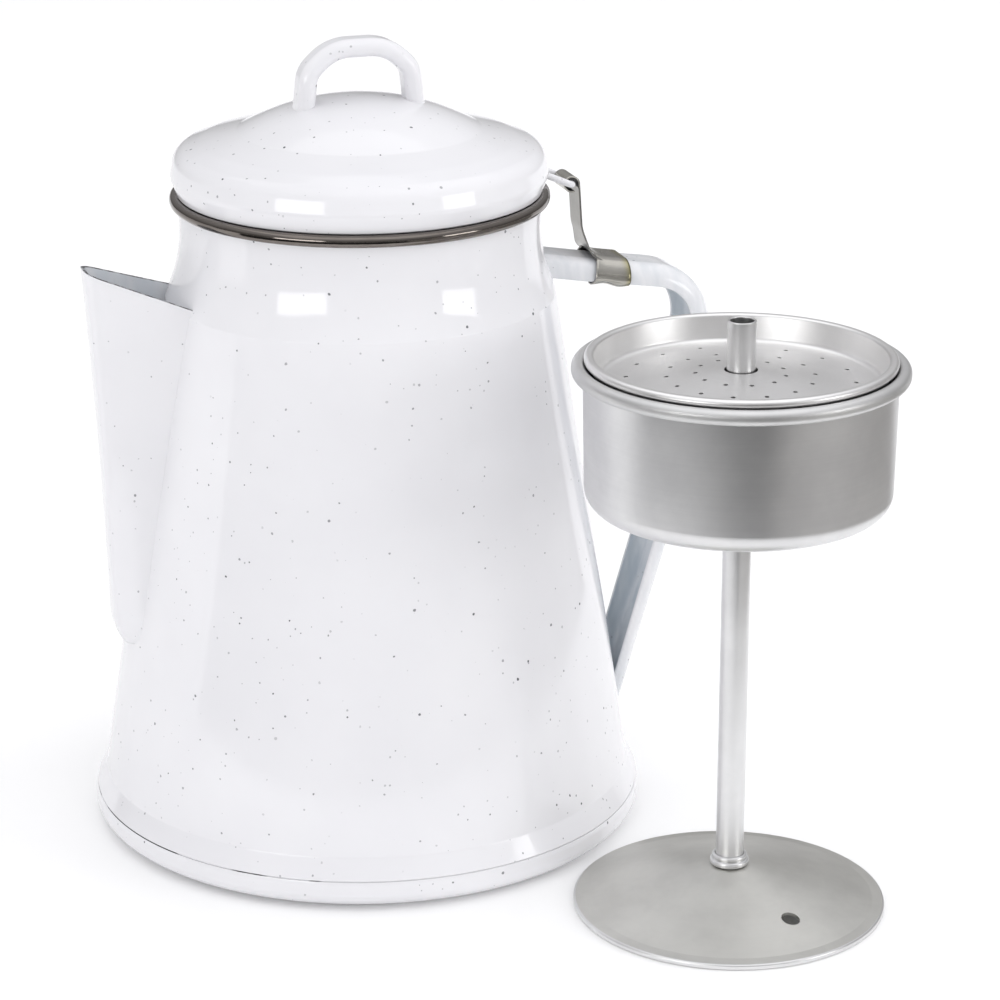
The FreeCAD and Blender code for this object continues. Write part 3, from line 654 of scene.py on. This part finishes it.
def build_spout():
    """Bent sheet gutter welded to the shell: two skins of columns closed by a lip, a foot and two weld edges."""
    shell = outside_line()
    rise = (LIP_TIP[1] - LIP_ROOT[1]) / (LIP_TIP[0] - LIP_ROOT[0])
    rows = 46
    skins = []
    for inset in (0.0, SPOUT_WALL):
        grid = []
        for j in range(SPOUT_ACROSS):
            top = 170.0
            for _ in range(8):
                x = spout_section(top, inset, shell)[j].x
                top = LIP_ROOT[1] + rise * (-x - LIP_ROOT[0])
            low = SPOUT_FOOT + inset
            column = []
            for i in range(rows):
                share = i / (rows - 1)
                height = low + (top - low) * (share ** 1.35)
                spot = spout_section(height, inset, shell)[j]
                column.append(Vector((spot.x, spot.y, height)))
            grid.append(column)
        skins.append(grid)
    vertices, faces, looks = [], [], []
    across = SPOUT_ACROSS
    for grid in skins:
        vertices += [v * MM for column in grid for v in column]
    offset = across * rows
    for k, flip in ((0, False), (1, True)):
        for j in range(across - 1):
            for i in range(rows - 1):
                a = k * offset + j * rows + i
                b = a + rows
                face = [a, b, b + 1, a + 1]
                faces.append(face[::-1] if flip else face)
                looks.append(2 if flip else 0)
    lip_lift = 0.22
    for j in range(across):
        outer, inner = skins[0][j][-1], skins[1][j][-1]
        vertices.append((outer.lerp(inner, 0.5) + Vector((0, 0, lip_lift))) * MM)
    for j in range(across - 1):
        top = rows - 1
        o, n = j * rows + top, (j + 1) * rows + top
        i_o, i_n = offset + o, offset + n
        m_o, m_n = 2 * offset + j, 2 * offset + j + 1
        faces += [[o, n, m_n, m_o], [m_o, m_n, i_n, i_o]]
        looks += [1, 1]
    for j in range(across - 1):
        faces.append([j * rows, offset + j * rows, offset + (j + 1) * rows, (j + 1) * rows])
        looks.append(0)
    for j in (0, across - 1):
        for i in range(rows - 1):
            a = j * rows + i
            faces.append([a, a + 1, offset + a + 1, offset + a])
            looks.append(0)
    piece("pouring_spout", vertices, faces, "pot", [ENAMEL, BARE_EDGE, SPOUT_INSIDE], ["spout"], 50.0, looks)


# ---------------------------------------------------------------- handle

HANDLE_HALF = 9.5
HANDLE_WALL = 1.1


def handle_path():
    """The back of the handle from the neck, along the arm and down to the cone."""
    corners = [(48.0, 170.9), (67.4, 167.4, 30.0), (107.6, 161.1, 20.0), (107.6, 116.7, 16.0), (77.2, 16.3)]
    closed = rounded(corners, math.radians(4.0))
    return subdivided(closed, 1.6, closed=False)


def channel(depth):
    """A C section, open inwards: (inward, sideways) points."""
    half, wall, corner = HANDLE_HALF, HANDLE_WALL, 5.0
    tip = wall * 0.45
    corners = [
        (depth, half, tip), (0, half, corner), (0, -half, corner), (depth, -half, tip),
        (depth, -half + wall, tip), (wall, -half + wall, corner - wall), (wall, half - wall, corner - wall),
        (depth, half - wall, tip),
    ]
    return [(p.x, p.y) for p in rounded(corners, math.radians(15.0))]


def build_handle():
    """Pressed channel, deepest at the bend and shallowest at its lower end."""
    shell = outside_line()

    def section(share):
        if share < 0.30:
            depth = 6.3
        elif share < 0.42:
            depth = 6.3 + 1.2 * (share - 0.30) / 0.12
        elif share < 0.55:
            depth = 7.5 - 1.3 * (share - 0.42) / 0.13
        else:
            depth = 6.2 - 1.1 * (share - 0.55) / 0.45
        return channel(depth)

    def stop(v):
        return math.hypot(v.x, v.y) - (profile_radius(shell, v.z) - 0.45)

    # Inner faces of the channel take its darker blue-grey enamel, painted shade; the rest take the outside's greyed
    # enamel, painted shade too.
    def look(a, b):
        inside = [n > HANDLE_WALL * 0.9 and abs(y) < HANDLE_HALF - HANDLE_WALL * 0.9 for n, y in (a, b)]
        return 1 if all(inside) else 0

    planar_sweep("channel_handle", handle_path(), section, "pot", [HANDLE_OUTSIDE_SHADED, HANDLE_INSIDE_SHADED], ["handle"],
                 stop, 50.0, look)


# ---------------------------------------------------------------- hinge clip

EYE_X, EYE_Z = 63.7, 189.9


def arm_top(x):
    """Height of the handle arm's upper face."""
    return 169.4 - 6.4 / 38.0 * (x - 57.0) + 0.15


def build_clip():
    """Sprung saddle round the arm; its end next to the pot is turned up, narrowed and curled into an eye."""
    end = 80.8
    deep, half, corner = 6.9, HANDLE_HALF + 0.25, 5.6
    curl = [
        (half - 3.0, -deep - 0.35), (half - 0.7, -deep - 0.35, 1.2), (half + 0.6, -deep * 0.82, 1.6),
        (half - 0.1, 0.25, corner), (-half + 0.1, 0.25, corner),
        (-half - 0.6, -deep * 0.82, 1.6), (-half + 0.7, -deep - 0.35, 1.2), (-half + 3.0, -deep - 0.35),
    ]
    section = even(rounded(curl, math.radians(8.0)), 121)
    rows = 18
    vertices, faces = [], []
    for i in range(rows):
        share = i / (rows - 1)
        for point in section:
            drop = min(max((0.25 - point.y) / (deep + 0.6), 0.0), 1.0)
            inner_edge = 70.9 - 0.9 * math.sin(math.pi * min(drop * 1.15, 1.0)) - 2.6 * drop ** 3
            outer_edge = end - 0.5 * drop ** 2
            x = inner_edge + (outer_edge - inner_edge) * share
            arch = 0.0
            if drop < 0.3:
                arch = max(0.0, 1.0 - (abs(point.x) / half) ** 2) * max(0.0, 1.0 - share * 2.4) ** 2
            wander = 0.35 * math.sin(0.7 * x + 1.0) * drop ** 4
            vertices.append(Vector((x, point.x, arm_top(x) + point.y + 0.10 + 0.75 * arch + wander)))
    across = len(section)
    for i in range(rows - 1):
        for j in range(across - 1):
            a = i * across + j
            faces.append([a, a + 1, a + across + 1, a + across])
    eye = 2.25
    path = rounded([(73.6, arm_top(73.6) + 0.22), (69.3, arm_top(69.3) + 1.25, 5.0),
                    (EYE_X + eye + 0.9, arm_top(66.0) + 8.5, 10.0), (EYE_X + eye, EYE_Z)], math.radians(5.0))
    turn = math.radians(290.0)
    for k in range(1, 49):
        angle = turn * k / 48
        path.append(Vector((EYE_X + eye * math.cos(angle), EYE_Z + eye * math.sin(angle))))
    path = subdivided(path, 0.6, closed=False)
    plain_steel_rows = 52
    wide, narrow = 7.6, 4.8
    base = len(vertices)
    strip = 21
    travelled = 0.0
    for i, point in enumerate(path):
        if i:
            travelled += (point - path[i - 1]).length
        ease = min(max((travelled - 3.0) / 8.5, 0.0), 1.0)
        ease = ease * ease * (3 - 2 * ease)
        width = wide + (narrow - wide) * ease
        for k in range(strip):
            side = -1 + 2 * k / (strip - 1)
            sag = (1 - ease) * 0.85 * side ** 4
            vertices.append(Vector((point.x, side * width, point.y - sag)))
    looks = [0] * len(faces)
    for i in range(len(path) - 1):
        for k in range(strip - 1):
            a = base + i * strip + k
            faces.append([a, a + 1, a + strip + 1, a + strip])
            # The eye's rows keep the plain spring steel; the tongue's rows take its copy painted darker, a painted
            # dark reflection.
            looks.append(0 if i > len(path) - plain_steel_rows else 2)
    made = piece("spring_clip", [v * MM for v in vertices], faces, "pot", [SPRING, INNER_FACE_SHADE, TONGUE_PAINTED_DARK, TONGUE_PAINTED_DARK],
                 ["hinge_clip"], 50.0, looks, turned=True)
    made.modifiers["weighted"].show_render = False
    thick = made.modifiers.new("thick", "SOLIDIFY")
    thick.thickness = 0.45 * MM
    thick.offset = 0.0
    thick.use_even_offset = True
    # The inner shell takes the next look: painted shade, near black, under the saddle and round the eye; the tongue's
    # darker copy on the tongue.
    thick.material_offset = 1
    thick.material_offset_rim = 0


# ---------------------------------------------------------------- lid

LID_TOP = in_mm("lid_shell")[1].z
BRIM = in_mm("lid_shell")[1].x
BRIM_BOTTOM = 192.55
LID_OUTSIDE = [
    (0, LID_TOP), (16.5, LID_TOP, 70.0), (35.5, LID_TOP - 9.2, 6.0), (46.0, LID_TOP - 12.2, 25.0),
    (BRIM - 1.2, BRIM_BOTTOM + 12.0, 5.5), (BRIM, BRIM_BOTTOM + 5.0, 3.5), (BRIM - 1.8, BRIM_BOTTOM, 0.3),
]


def lid_surface(radius):
    """Height of the lid's top at a radius."""
    line = rounded(LID_OUTSIDE + [(0, BRIM_BOTTOM)])
    for a, b in zip(line, line[1:]):
        if a.x <= radius <= b.x and b.x > a.x:
            return a.y + (b.y - a.y) * (radius - a.x) / (b.x - a.x)
    return BRIM_BOTTOM


def build_lid():
    """Domed lid with an inner skirt that drops into the mouth."""
    skirt, foot = 51.1, 186.0
    corners = LID_OUTSIDE + [
        (skirt, BRIM_BOTTOM, 0.3), (skirt - 0.5, foot, 0.4), (skirt - 1.6, foot, 0.4),
        (skirt - 1.1, BRIM_BOTTOM + 1.1), (BRIM - 2.1, BRIM_BOTTOM + 1.1),
        (BRIM - 1.2, BRIM_BOTTOM + 5.0, 2.5), (BRIM - 2.4, BRIM_BOTTOM + 11.1, 4.4),
        (45.7, LID_TOP - 13.4, 25.0), (35.2, LID_TOP - 10.4, 6.0), (16.4, LID_TOP - 1.15, 69.0), (0, LID_TOP - 1.15),
    ]
    lathe("domed_lid", subdivided(rounded(corners, math.radians(4.0)), 6.0), "lid", ENAMEL, ["lid_shell"],
          segments=288)


def build_grip():
    """Strap bent to an arch, flared a little where it is welded to the lid."""
    span, crown, deep = 17.9, 237.0, 5.4
    foot = LID_TOP - 7.5
    corners = [(-span - 1.8, foot), (-span, crown - 8.2, 10.0), (-span + 8.6, crown, 16.0), (span - 8.6, crown, 16.0),
               (span, crown - 8.2, 10.0), (span + 1.8, foot)]
    path = subdivided(rounded(corners, math.radians(4.0)), 0.9, closed=False)
    half = 4.5
    sections = []
    for i in range(len(path)):
        near_foot = max(0.0, 1 - min(i, len(path) - 1 - i) / 9.0)
        flare = 0.7 * near_foot ** 2
        outline = [(-flare, half + flare * 0.5, 2.6), (-flare, -half - flare * 0.5, 2.6),
                   (deep + flare, -half - flare * 0.5, 2.6), (deep + flare, half + flare * 0.5, 2.6)]
        sections.append([(p.x, p.y) for p in rounded(outline, math.radians(12.0))])

    def stop(v):
        return v.z - (lid_surface(math.hypot(v.x, v.y)) - 0.3)

    planar_sweep("lid_arch", path, lambda share: sections[round(share * (len(path) - 1))], "lid", ENAMEL,
                 ["lid_grip"], stop, 60.0)


def build_wire():
    """Wire bent to a U: two legs in the lid's brim and a crossbar through the clip's eye."""
    slope = math.radians(24.0)
    out = Vector((math.cos(slope), 0, -math.sin(slope)))
    corner = Vector((EYE_X, 0, EYE_Z))
    bend, half, reach, step = 1.9, 6.3, 10.4, 0.8
    path = []
    for side in (-1, 1):
        leg = [corner - out * (reach - step * k) + Vector((0, side * half, 0))
               for k in range(int((reach - bend) / step) + 1)]
        turn = []
        for k in range(0, 9):
            angle = math.radians(90.0) * k / 8
            turn.append(corner - out * bend + out * (bend * math.sin(angle))
                        + Vector((0, side * (half - bend + bend * math.cos(angle)), 0)))
        line = leg + turn
        path += line if side < 0 else line[::-1]
    tube("hinge_wire", path, 1.0, "lid", ENAMEL, ["lid_hinge_wire"], 24)


# ---------------------------------------------------------------- pump, basket and spreader

stem_low, stem_high = in_mm("pump_stem")
PUMP = ((stem_low.x + stem_high.x) / 2, (stem_low.y + stem_high.y) / 2)
STEM = (stem_high.x - stem_low.x) / 2
PERFORATION = 1.3


def build_pump():
    """Stem tube on a coned foot with one inlet hole, the collar over the foot and the basket's stop ring."""
    wall = 0.71
    foot_low, foot_high = in_mm("pump_foot")
    rim = (foot_high.x - foot_low.x) / 2
    bottom, top = stem_low.z, stem_high.z
    lathe("stem_tube", subdivided(rounded([
        (STEM - wall, bottom, 0.2), (STEM, bottom, 0.2), (STEM, top, 0.3), (STEM - wall, top, 0.3)]), 8.0),
        "pump", STEM_METAL, ["pump_stem"], PUMP, 96)
    crown, sheet = 11.6, 0.8
    foot = lathe("coned_foot", subdivided(rounded([
        (STEM + 0.05, crown + 0.3), (6.5, crown, 2.5), (rim - 3.5, 1.9, 1.6), (rim, 1.45, 0.65), (rim, 0, 0.2),
        (rim - sheet, 0, 0.2), (rim - sheet, 0.75), (rim - 3.65, 1.1, 1.0), (6.4, crown - sheet, 2.0),
        (STEM + 0.05, crown - 0.5)]), 4.0), "pump", [FOOT_METAL, STEM_METAL], ["pump_foot"], PUMP, 256,
        lambda a, b: 1 if (a.x + b.x) / 2 > rim - 0.62 else 0)
    cut_holes(foot, ring_places([(28.5, 1, -74.0)], 5.0), 5.3, (0, 0, 1), 9.0, 40)
    ring_low, ring_high = in_mm("stem_collar")
    outer = (ring_high.x - ring_low.x) / 2
    step = ring_low.z + (ring_high.z - ring_low.z) * 0.55
    lathe("foot_collar", rounded([
        (STEM + 0.05, ring_low.z), (outer, ring_low.z, 0.7), (outer, step, 0.7), (outer - 0.7, step),
        (outer - 0.45, ring_high.z, 0.7), (STEM + 0.05, ring_high.z, 0.3)], math.radians(12.0)),
        "pump", STEM_METAL, ["stem_collar"], PUMP, 96)
    stop_low, stop_high = in_mm("basket_stop")
    outer = (stop_high.x - stop_low.x) / 2
    lathe("stop_ring", rounded([
        (STEM + 0.05, stop_low.z), (outer, stop_low.z, 0.4), (outer, stop_high.z, 0.4), (STEM + 0.05, stop_high.z)],
        math.radians(12.0)), "pump", STEM_METAL, ["basket_stop"], PUMP, 96)


def ring_places(rings, height):
    """Hole centres in rings about the stem: (radius, count, first angle in degrees)."""
    places = []
    for reach, count, first in rings:
        for k in range(count):
            angle = math.radians(first) + 2 * math.pi * k / count
            places.append((PUMP[0] + reach * math.cos(angle), PUMP[1] + reach * math.sin(angle), height))
    return places


def build_basket():
    """Cup with a curled rim, a perforated floor and a sleeve that runs on the stem."""
    wall, floor, top, side, bead, deep = 0.8, 120.5, 162.2, 43.4, 46.6, 4.2
    foot, bore, sleeve = 42.7, 4.6, 5.2

    def look(a, b):
        return 1 if (a.x + b.x) / 2 > side + 0.2 and (a.y + b.y) / 2 > top - deep - 0.1 else 0

    cup = lathe("brew_basket", subdivided(rounded([
        (bore, floor), (foot, floor, 6.0), (side, top - 1.6), (bead - wall, top - wall, 1.3),
        (bead - wall, top - deep + wall, 1.2), (side + 1.1, top - deep + wall, 0.3), (side + 1.1, top - deep, 0.3),
        (bead, top - deep, 1.95), (bead, top, 1.95), (side - wall, top, 1.9), (foot - wall, floor + wall, 5.2),
        (sleeve, floor + wall), (sleeve, floor + 7.0, 0.25), (bore, floor + 7.0, 0.25)]), 4.0),
        "basket_body", [BASKET_METAL, RIM_METAL], ["basket"], PUMP, 256, look)
    rings = [(11.0, 10, 0.0), (18.5, 16, 9.0), (26.0, 22, 18.0), (33.5, 28, 27.0)]
    cut_holes(cup, ring_places(rings, floor), PERFORATION, (0, 0, 1), 2.0, 12)


def build_spreader():
    """Dished, perforated plate that rests in the basket's rim."""
    bore, crown, floor, edge, rim, top, wall = 4.65, 159.9, 39.5, 156.2, 43.1, 164.2, 0.7
    plate = lathe("spray_plate", subdivided(rounded([
        (bore, crown), (floor - 0.2, edge, 1.6), (rim - 2.7, top, 1.0), (rim, top, 1.2), (rim, top - 2.4, 1.1),
        (rim - 2.0, top - 2.4), (floor + 0.5, edge - 0.75, 1.9), (bore, crown - wall)]), 3.0),
        "spreader_body", PLATE_METAL, ["spreader"], PUMP, 256)
    rings = [(12.5, 11, 0.0), (20.5, 14, 11.0), (31.5, 16, 22.0)]
    cut_holes(plate, ring_places(rings, 158.0), PERFORATION, (0, 0, 1), 6.0, 14)


build_pot()
build_pan()
build_band()
build_spout()
build_handle()
build_clip()
build_lid()
build_grip()
build_wire()
build_pump()
build_basket()
build_spreader()


# ---------------------------------------------------------------- floor, light and camera

def floor():
    """Pale paper, a fifth of a millimetre below the object."""
    reach = 6.0
    mesh = bpy.data.meshes.new("studio_floor")
    mesh.from_pydata([(-reach, -reach, 0), (reach, -reach, 0), (reach, reach, 0), (-reach, reach, 0)],
                     [], [(0, 1, 2, 3)])
    thing = bpy.data.objects.new("studio_floor", mesh)
    scene.collection.objects.link(thing)
    material, _, shader = new_material("floor_paper")
    shader.inputs["Base Color"].default_value = (0.96, 0.96, 0.96, 1)
    shader.inputs["Roughness"].default_value = 0.9
    shader.inputs["Specular IOR Level"].default_value = 0.1
    shader.inputs["Emission Color"].default_value = (1, 1, 1, 1)
    shader.inputs["Emission Strength"].default_value = 0.035
    mesh.materials.append(material)
    thing.location.z = -0.0002


VIEW_AZIMUTH = math.radians(-18.0)
VIEW_PITCH = math.radians(19.05)
CAMERA_AT = Vector((-0.2619, -0.9379, 0.4325))
LENS_MM = 123.5
SENSOR_MM = 36.0


def camera():
    data = bpy.data.cameras.new("camera")
    data.lens = LENS_MM
    data.sensor_width = SENSOR_MM
    thing = bpy.data.objects.new("camera", data)
    thing.location = CAMERA_AT
    thing.rotation_euler = (math.pi / 2 - VIEW_PITCH, 0, VIEW_AZIMUTH)
    scene.collection.objects.link(thing)
    scene.camera = thing


def softbox(name, azimuth, elevation, distance, width, height, power, aim=(0, 0, 0.12)):
    """A rectangular light placed round an aim point, in degrees: azimuth 0 is the camera's side, + to the right."""
    aim = Vector(aim)
    turn = VIEW_AZIMUTH + math.radians(azimuth)
    lift = math.radians(elevation)
    away = Vector((math.sin(turn) * math.cos(lift), -math.cos(turn) * math.cos(lift), math.sin(lift)))
    data = bpy.data.lights.new(name, "AREA")
    data.shape = "RECTANGLE"
    data.size = width
    data.size_y = height
    data.energy = power
    thing = bpy.data.objects.new(name, data)
    thing.location = aim + away * distance
    thing.rotation_euler = away.to_track_quat("Z", "Y").to_euler()
    scene.collection.objects.link(thing)
    return thing


def flag(name, first, last, tone):
    """Studio flag lying in front of the table between two bearings: only reflections see it."""
    near, far, sides = 0.34, 3.4, 32
    vertices = []
    for k in range(sides + 1):
        turn = VIEW_AZIMUTH + math.radians(first + (last - first) * k / sides)
        for reach in (near, far):
            vertices.append((reach * math.sin(turn), -reach * math.cos(turn), 0.0005))
    faces = [(2 * k, 2 * k + 1, 2 * k + 3, 2 * k + 2) for k in range(sides)]
    mesh = bpy.data.meshes.new(name)
    mesh.from_pydata(vertices, [], faces)
    thing = bpy.data.objects.new(name, mesh)
    scene.collection.objects.link(thing)
    material, _, shader = new_material(name + "_cloth")
    shader.inputs["Base Color"].default_value = (tone, tone * 0.97, tone * 0.93, 1)
    shader.inputs["Roughness"].default_value = 1.0
    mesh.materials.append(material)
    thing.visible_camera = False
    thing.visible_diffuse = False
    thing.visible_shadow = False
    thing.visible_transmission = False


def lights():
    shoulder = (0, 0, 0.175)
    softbox("softbox_left", -33.5, 8.2, 1.5, 0.80, 0.37, 3.7, shoulder)
    softbox("softbox_right", 63, 8.2, 1.5, 0.57, 0.37, 2.6, shoulder)
    softbox("overhead", 0, 88, 1.6, 2.4, 2.4, 11)
    fills = (("fill_front", 5, 13.5), ("fill_left", -95, 10), ("fill_right", 95, 31), ("fill_back", 180, 12))
    for name, azimuth, power in fills:
        fill = softbox(name, azimuth, 22, 3.0, 3.0, 2.0, power)
        fill.visible_glossy = False
    world = bpy.data.worlds.new("studio")
    scene.world = world
    world.use_nodes = True
    tree = world.node_tree
    background = tree.nodes["Background"]
    coords = tree.nodes.new("ShaderNodeTexCoord")
    height = node(tree, "ShaderNodeSeparateXYZ", {0: coords.outputs["Generated"]}).outputs[2]
    rise = ramp(tree, height, 0.0, 0.75)
    tree.links.new(mix(tree, rise, (0.24, 0.235, 0.23, 1), (0.69, 0.69, 0.71, 1)), background.inputs["Color"])
    background.inputs["Strength"].default_value = 1.0
    scene.view_settings.view_transform = "Standard"


flag("black_flag", -72, 30, 0.03)
flag("grey_flag", 30, 125, 0.30)
floor()
camera()
lights()
